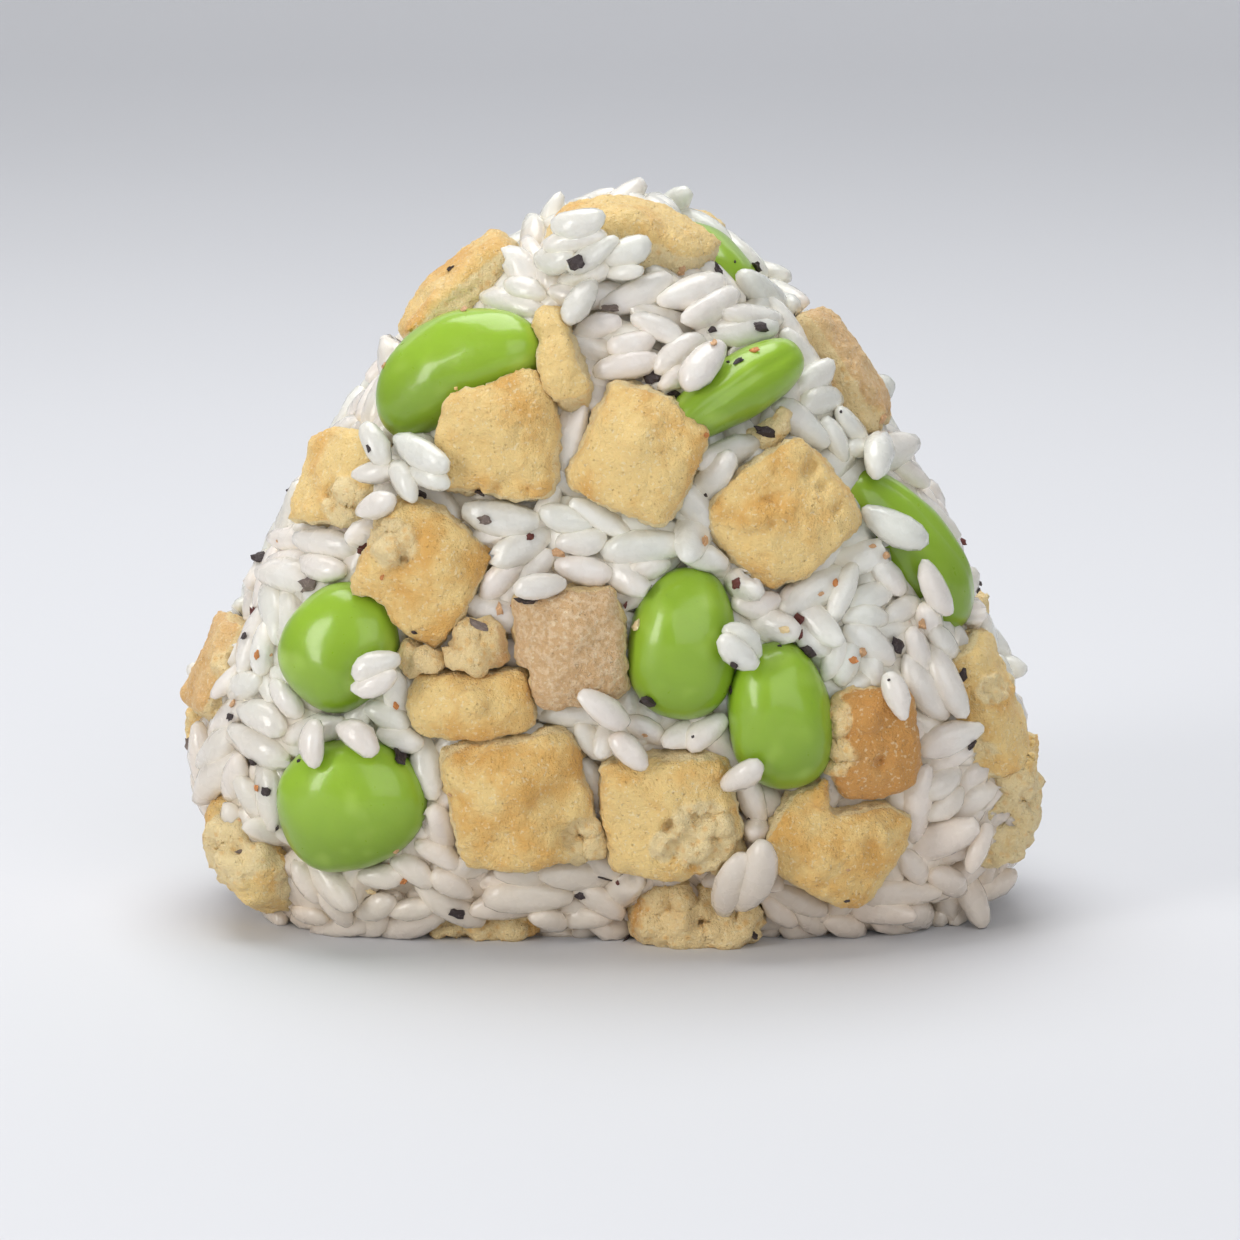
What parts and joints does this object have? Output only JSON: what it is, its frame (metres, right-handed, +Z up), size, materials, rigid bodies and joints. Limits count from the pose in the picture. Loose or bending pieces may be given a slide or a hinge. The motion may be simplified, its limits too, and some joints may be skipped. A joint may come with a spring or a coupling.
{
  "type": "rice ball",
  "caption": "Hand-pressed triangular rice ball that stands on its base, studded with green soybeans, squares of fried tofu and ground pepper.",
  "frame": {"origin": "middle of the outer box, on the surface that the rice ball stands on", "axes": "+X to the viewer's right along the base, +Y from the shown face to the back, +Z up to the peak"},
  "size_m": [0.077, 0.0419, 0.0645],
  "materials": {
    "rice": "moist cooked rice, slightly translucent, with small wet highlights",
    "bean": "smooth glossy skin",
    "tofu": "dry fried crust, finely wrinkled, with cream porous cut sides"
  },
  "bodies": {
    "root": {"rice": "rice", "bean_upper_left": "bean", "bean_behind_peak": "bean", "bean_upper_middle": "bean", "bean_right_shoulder": "bean", "bean_left": "bean", "bean_lower_left": "bean", "bean_middle": "bean", "bean_lower_right": "bean", "bean_back_right": "bean", "bean_back_left": "bean", "bean_back_middle": "bean", "bean_back_low": "bean", "bean_back_corner": "bean", "bean_back_top": "bean", "tofu_peak": "tofu", "tofu_left_wedge": "tofu", "tofu_cream_strip": "tofu", "tofu_upper_left": "tofu", "tofu_upper_middle": "tofu", "tofu_upper_right": "tofu", "tofu_right_slope": "tofu", "tofu_left_shoulder": "tofu", "tofu_middle_left": "tofu", "tofu_left_edge": "tofu", "tofu_flap": "tofu", "tofu_sponge": "tofu", "tofu_middle": "tofu", "tofu_lower_left": "tofu", "tofu_lower_middle": "tofu", "tofu_brown_side": "tofu", "tofu_lower_right": "tofu", "tofu_right_edge": "tofu", "tofu_right_foot": "tofu", "tofu_left_foot": "tofu", "tofu_front_foot": "tofu", "tofu_under_left": "tofu", "tofu_right_behind": "tofu", "tofu_left_behind": "tofu", "tofu_back_1": "tofu", "tofu_back_2": "tofu", "tofu_back_3": "tofu", "tofu_back_4": "tofu", "tofu_back_5": "tofu", "tofu_back_6": "tofu", "tofu_back_7": "tofu", "tofu_left_back_slope": "tofu", "tofu_right_back_slope": "tofu", "tofu_back_foot": "tofu", "tofu_back_high": "tofu"}
  },
  "joints": []
}
